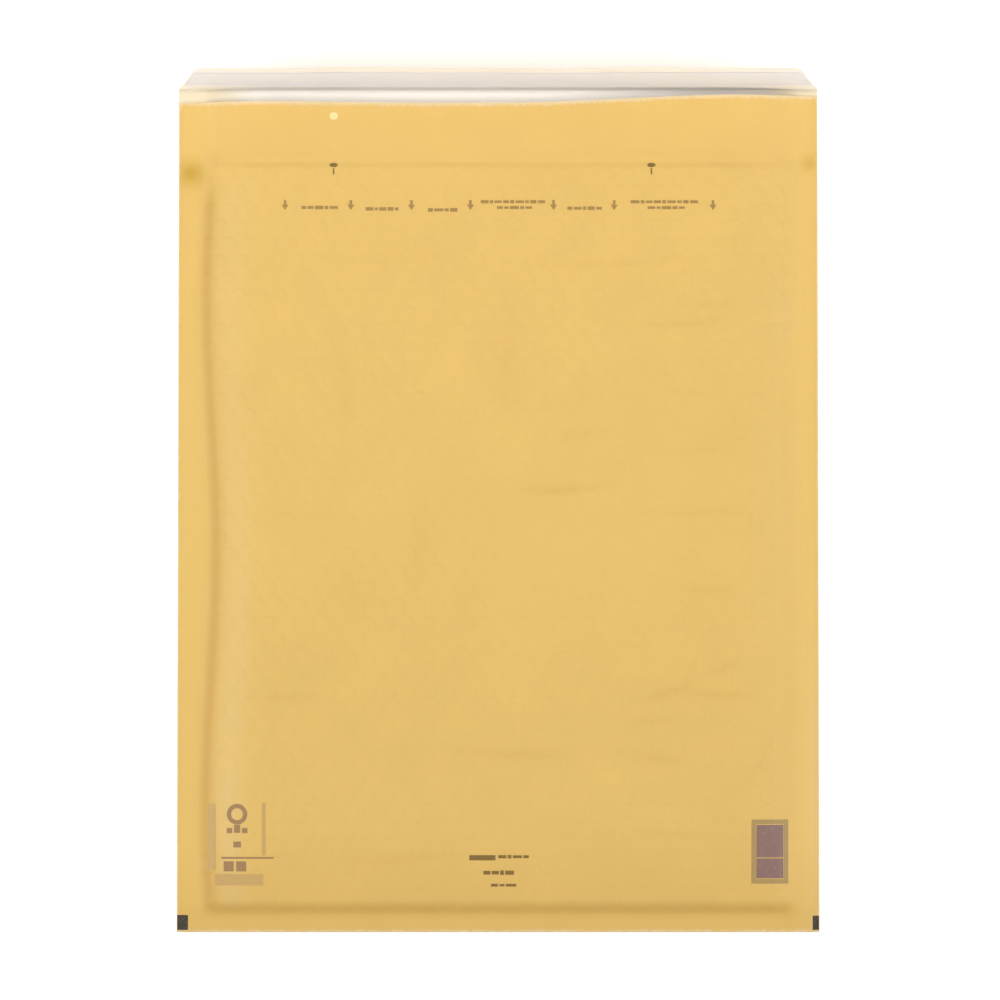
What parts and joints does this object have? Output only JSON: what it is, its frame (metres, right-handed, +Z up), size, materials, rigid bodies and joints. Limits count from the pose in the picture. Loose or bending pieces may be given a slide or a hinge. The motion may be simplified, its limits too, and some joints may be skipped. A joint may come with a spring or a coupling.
{
  "type": "padded envelope",
  "caption": "Large padded mailing envelope in gold kraft paper with a bubble film lining, lying flat with its self-seal flap standing open.",
  "frame": {"origin": "on the table under the middle of the envelope's bounding box, below the flat underside of the front panel", "axes": "+X across the envelope to its right, +Y from the bottom fold towards the mouth and flap, +Z up from the table through the padding"},
  "size_m": [0.37, 0.4938, 0.0511],
  "materials": {
    "kraft_paper": "smooth machine-glazed kraft paper, faint satin",
    "bubble_film": "clear polyethylene bubble film",
    "seal_glue": "pale tacky hot-melt band",
    "liner_paper": "white silicone-coated release paper, satin"
  },
  "bodies": {
    "root": {"kraft_sheet": "kraft_paper", "bubble_lining": "bubble_film", "adhesive_band": "seal_glue", "release_liner": "liner_paper"}
  },
  "joints": []
}
